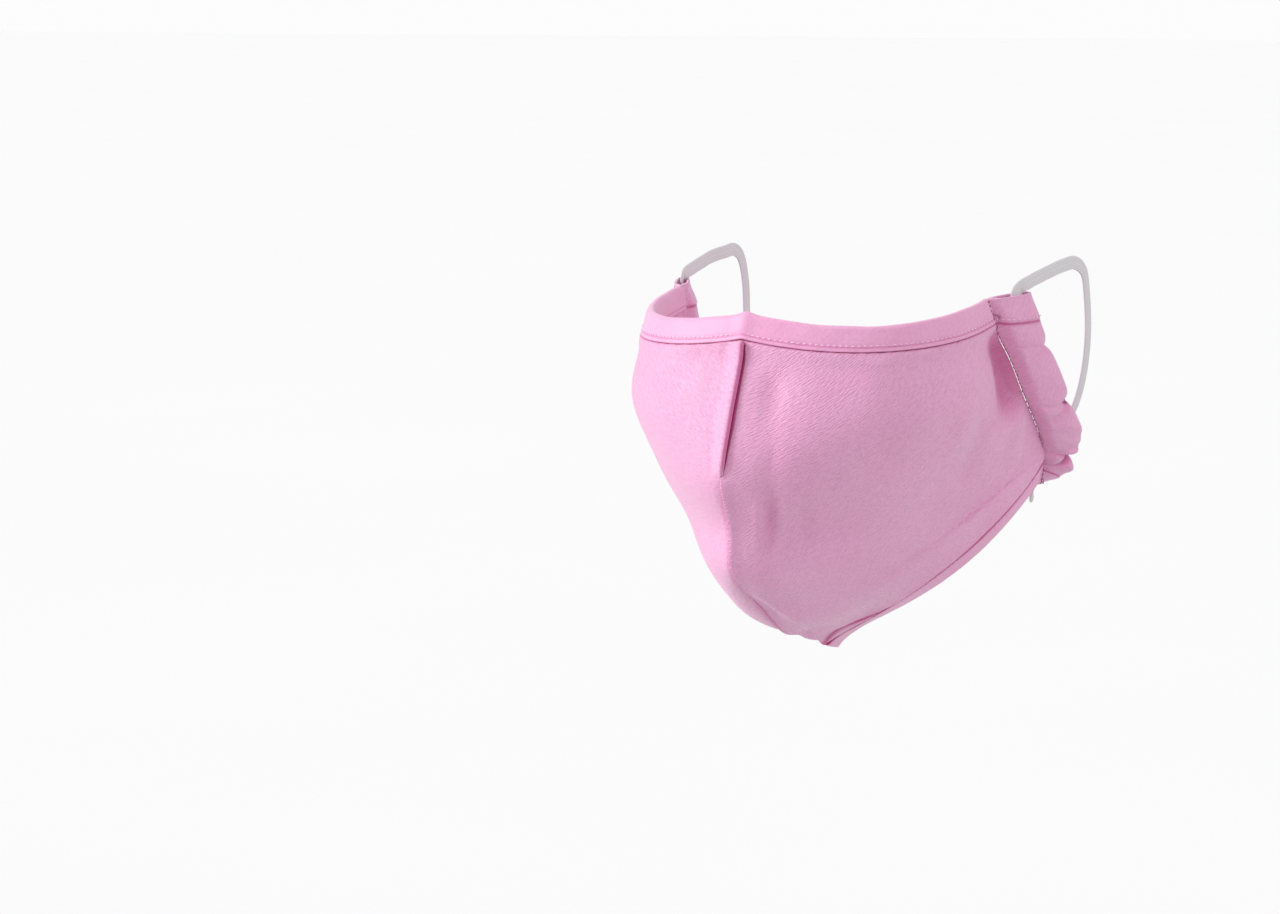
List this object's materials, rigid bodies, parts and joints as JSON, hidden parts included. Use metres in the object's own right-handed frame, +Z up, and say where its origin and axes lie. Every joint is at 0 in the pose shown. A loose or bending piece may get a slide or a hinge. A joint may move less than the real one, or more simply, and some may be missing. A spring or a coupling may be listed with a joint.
{
  "type": "cloth face mask",
  "caption": "Cloth face mask in its worn form: two curved panels with a centre seam, folded bindings, gathered side casings and flat elastic ear loops.",
  "frame": {"origin": "inner side of the upper binding at the centre, where the mask sits on the bridge of the nose", "axes": "+Z up, -Y the way the wearer looks, +X towards the wearer's left"},
  "size_m": [0.1736, 0.1702, 0.1579],
  "materials": {
    "panel_cloth": "smooth pink stretch cloth with fine slanting streaks and a soft sheen",
    "binding_cloth": "pink folded binding of the same cloth, with a running stitch",
    "casing_cloth": "gathered pink cloth with a stitch line",
    "elastic": "white ribbed flat elastic, matte"
  },
  "bodies": {
    "root": {"panel_left": "panel_cloth", "panel_right": "panel_cloth", "top_binding": "binding_cloth", "bottom_binding": "binding_cloth", "side_casing_left": "casing_cloth", "side_casing_right": "casing_cloth", "ear_loop_left": "elastic", "ear_loop_right": "elastic"}
  },
  "joints": []
}
